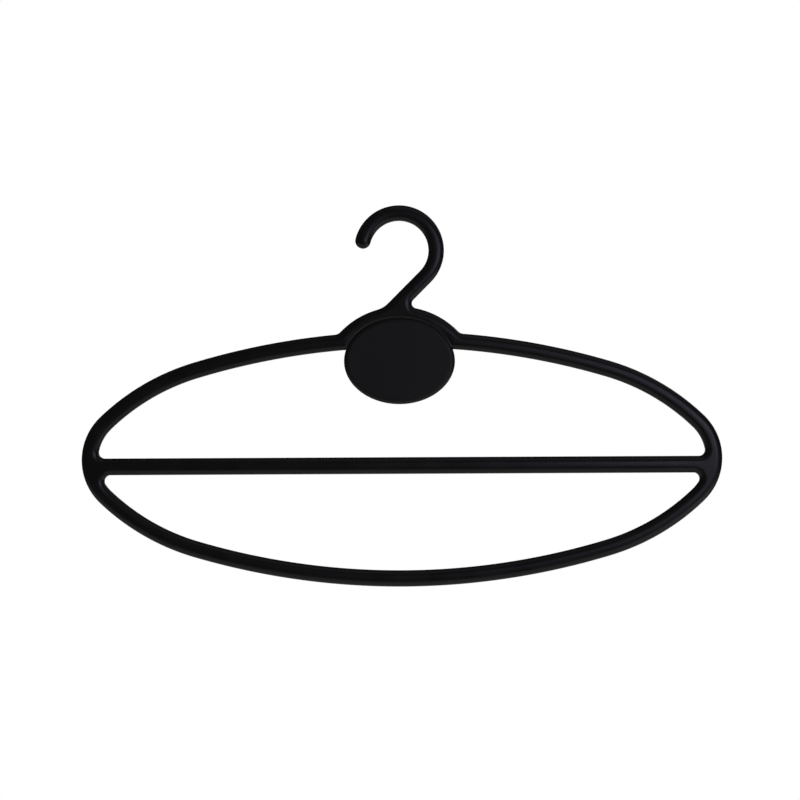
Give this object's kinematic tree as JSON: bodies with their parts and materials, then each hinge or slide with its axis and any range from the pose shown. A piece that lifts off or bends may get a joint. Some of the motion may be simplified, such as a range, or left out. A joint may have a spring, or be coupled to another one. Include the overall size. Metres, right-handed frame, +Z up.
{
  "type": "scarf hanger",
  "caption": "Moulded plastic scarf hanger: an oval rim with a crossbar, an oval label medallion under an arched yoke, and a fixed open hook.",
  "frame": {"origin": "middle of the hook's throat, on its axis and on the parting plane", "axes": "+Z up when it hangs, +X to the right seen from the front, +Y from the front to the back; the hook opens towards -X"},
  "size_m": [0.38, 0.0086, 0.2262],
  "materials": {
    "frame": "satin black injection-moulded polystyrene",
    "label_face": "fine matte black injection-moulded polystyrene"
  },
  "bodies": {
    "root": {"hook": "frame", "yoke": "frame", "medallion": "label_face", "left_top_rail": "frame", "right_top_rail": "frame", "left_top_shoulder": "frame", "right_top_shoulder": "frame", "left_end": "frame", "right_end": "frame", "left_bottom_shoulder": "frame", "right_bottom_shoulder": "frame", "bottom_rail": "frame", "crossbar": "frame"}
  },
  "joints": []
}
